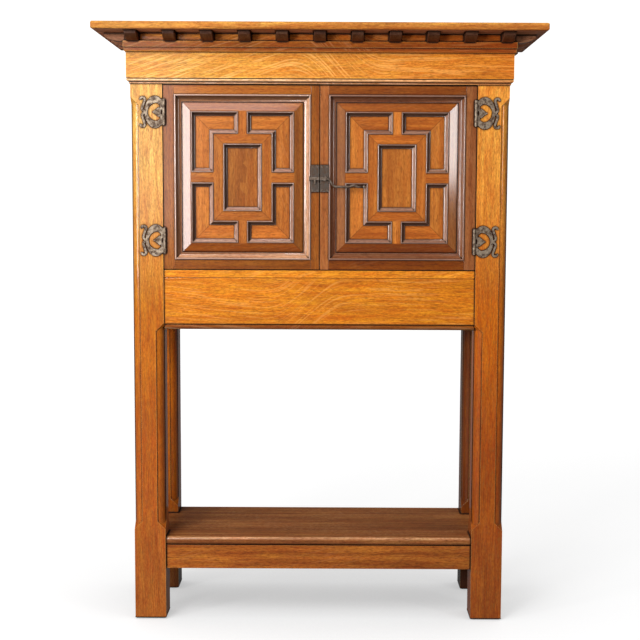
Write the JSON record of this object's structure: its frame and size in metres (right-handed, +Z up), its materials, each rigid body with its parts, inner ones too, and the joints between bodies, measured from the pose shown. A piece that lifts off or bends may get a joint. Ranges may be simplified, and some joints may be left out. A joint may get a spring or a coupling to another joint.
{
  "type": "court cupboard",
  "caption": "Oak court cupboard: panelled doors on pierced iron hinges over an open bay and low shelf, on moulded posts, under a corbelled top.",
  "frame": {"origin": "centre of the bounding box at floor level, under the feet", "axes": "+X to the right seen from the front, +Y towards the back, +Z up"},
  "size_m": [1.092, 0.436, 1.484],
  "materials": {
    "top_oak": "waxed golden oak",
    "post_oak": "waxed oak, browner towards the feet",
    "corbel_oak": "waxed oak, darker in the corners",
    "door_oak": "glossy red-brown polished oak",
    "shelf_oak": "worn waxed oak",
    "inner_oak": "plain dry oak",
    "iron": "worn grey-brown wrought iron"
  },
  "bodies": {
    "case": {"front_left_post": "post_oak", "front_right_post": "post_oak", "rear_left_post": "post_oak", "rear_right_post": "post_oak", "front_frieze": "top_oak", "left_frieze": "top_oak", "right_frieze": "top_oak", "front_corbels": "corbel_oak", "left_corbels": "corbel_oak", "right_corbels": "corbel_oak", "top_board": "top_oak", "front_apron_rail": "top_oak", "rear_apron_rail": "inner_oak", "left_apron_rail": "top_oak", "right_apron_rail": "top_oak", "low_front_rail": "post_oak", "low_rear_rail": "post_oak", "low_left_rail": "post_oak", "low_right_rail": "post_oak", "low_shelf": "shelf_oak", "cupboard_floor": "top_oak", "ceiling_board": "inner_oak", "inner_shelf": "inner_oak", "shelf_bearers": "inner_oak", "rear_top_rail": "inner_oak", "back_boards": "inner_oak", "door_stops": "inner_oak", "left_side_panel": "door_oak", "right_side_panel": "door_oak", "left_upper_hinge_plate": "iron", "left_lower_hinge_plate": "iron", "right_upper_hinge_plate": "iron", "right_lower_hinge_plate": "iron", "left_hinge_pins": "iron", "right_hinge_pins": "iron", "hinge_nails": "iron"},
    "left_door": {"left_door_hinge_stile": "door_oak", "left_door_meeting_stile": "door_oak", "left_door_top_rail": "door_oak", "left_door_bottom_rail": "door_oak", "left_door_panel": "door_oak", "left_door_frame_mould": "door_oak", "left_door_panel_moulds": "door_oak", "left_upper_hinge_leaf": "iron", "left_lower_hinge_leaf": "iron", "left_latch_plate": "iron", "latch_keeper": "iron"},
    "right_door": {"right_door_hinge_stile": "door_oak", "right_door_meeting_stile": "door_oak", "right_door_top_rail": "door_oak", "right_door_bottom_rail": "door_oak", "right_door_panel": "door_oak", "right_door_frame_mould": "door_oak", "right_door_panel_moulds": "door_oak", "right_upper_hinge_leaf": "iron", "right_lower_hinge_leaf": "iron", "right_latch_plate": "iron", "latch_pivot": "iron"},
    "lever": {"latch_lever": "iron"}
  },
  "joints": [
    {"name": "left_door_hinge", "type": "hinge", "parent": "case", "child": "left_door", "pos_m": [-0.3825, -0.1408, 1.119], "axis": [0, 0, -1], "range_deg": [0, 110]},
    {"name": "right_door_hinge", "type": "hinge", "parent": "case", "child": "right_door", "pos_m": [0.3825, -0.1408, 1.119], "axis": [0, 0, 1], "range_deg": [0, 110]},
    {"name": "latch_lever_turn", "type": "hinge", "parent": "right_door", "child": "lever", "pos_m": [0.0125, -0.14075, 1.1155], "axis": [0, 1, 0], "range_deg": [0, 75]}
  ]
}
